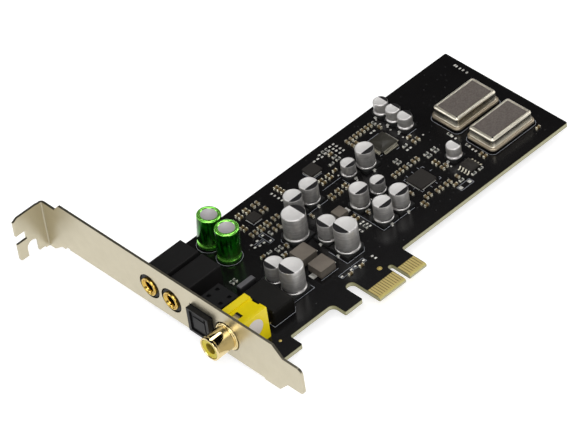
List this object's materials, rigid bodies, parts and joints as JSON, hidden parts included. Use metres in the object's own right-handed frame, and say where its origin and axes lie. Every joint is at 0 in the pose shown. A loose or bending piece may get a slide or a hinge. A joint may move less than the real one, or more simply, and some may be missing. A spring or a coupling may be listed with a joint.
{
  "type": "sound card",
  "caption": "Short expansion board for sound, with edge contacts, a full-height bracket, mini jacks, a shuttered optical port and a coaxial socket.",
  "frame": {"origin": "on the bracket's outer face, level with the tips of the edge contacts and with the board's component face", "axes": "+X along the board away from the bracket, +Y towards the bracket's screw tab, +Z out of the component side"},
  "size_m": [0.1537, 0.1202, 0.0217],
  "materials": {
    "bracket_steel": "plated sheet steel, satin",
    "screw_steel": "nickel plated",
    "tin": "tinned, bright",
    "capacitor_ceramic": "tan ceramic with tinned ends",
    "resistor_ceramic": "grey-black with tinned ends",
    "board": "black solder mask, semi-gloss",
    "gold": "gold plated, polished",
    "spring_metal": "tinned spring metal",
    "yellow_plastic": "yellow moulded, satin",
    "sticker_paper": "bare label stock",
    "chip_plastic": "black epoxy",
    "emitter_resin": "dark clear resin",
    "film_plastic": "grey dipped",
    "inductor_ferrite": "grey-brown moulded powder",
    "jack_plastic": "black moulded, satin",
    "base_plastic": "black moulded",
    "can_aluminium": "coated aluminium, satin",
    "optical_plastic": "dark grey moulded, satin",
    "oscillator_steel": "nickel plated steel",
    "bead_glass": "glass bead",
    "bung_rubber": "black rubber",
    "radial_aluminium": "dull aluminium",
    "green_sleeve": "translucent green shrink sleeve",
    "relay_plastic": "black moulded"
  },
  "bodies": {
    "card": {"bracket": "bracket_steel", "bracket_screws": "screw_steel", "can_terminals": "tin", "chip_capacitors": "capacitor_ceramic", "chip_resistors": "resistor_ceramic", "circuit_board": "board", "coax_barrel": "gold", "coax_centre_contact": "spring_metal", "coax_housing": "yellow_plastic", "coax_insulator": "yellow_plastic", "coax_sticker": "sticker_paper", "edge_contacts_back": "gold", "edge_contacts_front": "gold", "eight_lead_chip": "chip_plastic", "eight_lead_chip_leads": "tin", "emitter_module": "emitter_resin", "film_capacitor": "film_plastic", "inductor_1": "inductor_ferrite", "inductor_2": "inductor_ferrite", "inductor_3": "inductor_ferrite", "inductor_terminals": "tin", "jack_1_collar": "gold", "jack_1_contacts": "spring_metal", "jack_1_housing": "jack_plastic", "jack_2_collar": "gold", "jack_2_contacts": "spring_metal", "jack_2_housing": "jack_plastic", "large_can_bases": "base_plastic", "large_cans": "can_aluminium", "large_flat_chip": "chip_plastic", "medium_can_bases": "base_plastic", "medium_cans": "can_aluminium", "optical_housing": "optical_plastic", "oscillator_1_header": "oscillator_steel", "oscillator_1_lid": "oscillator_steel", "oscillator_2_header": "oscillator_steel", "oscillator_2_lid": "oscillator_steel", "oscillator_beads": "bead_glass", "oscillator_pins": "tin", "oscillator_solder": "tin", "radial_bung_1": "bung_rubber", "radial_bung_2": "bung_rubber", "radial_can_1": "radial_aluminium", "radial_can_2": "radial_aluminium", "radial_leads": "tin", "radial_sleeve_1": "green_sleeve", "radial_sleeve_2": "green_sleeve", "relay_case": "relay_plastic", "shutter_spring": "spring_metal", "small_can_bases": "base_plastic", "small_cans": "can_aluminium", "small_flat_chip": "chip_plastic", "solder_joints": "tin", "square_chip": "chip_plastic", "square_chip_leads": "tin", "upper_flat_chip": "chip_plastic"},
    "shutter": {"optical_shutter": "optical_plastic"}
  },
  "joints": [
    {"name": "shutter_hinge", "type": "hinge", "parent": "card", "child": "shutter", "pos_m": [-0.0008, 0.03145, 0.0085], "axis": [0, -1, 0], "range_deg": [0, 80], "stiffness_Nm_per_rad": 0.0002, "springref_deg": -20.05}
  ]
}
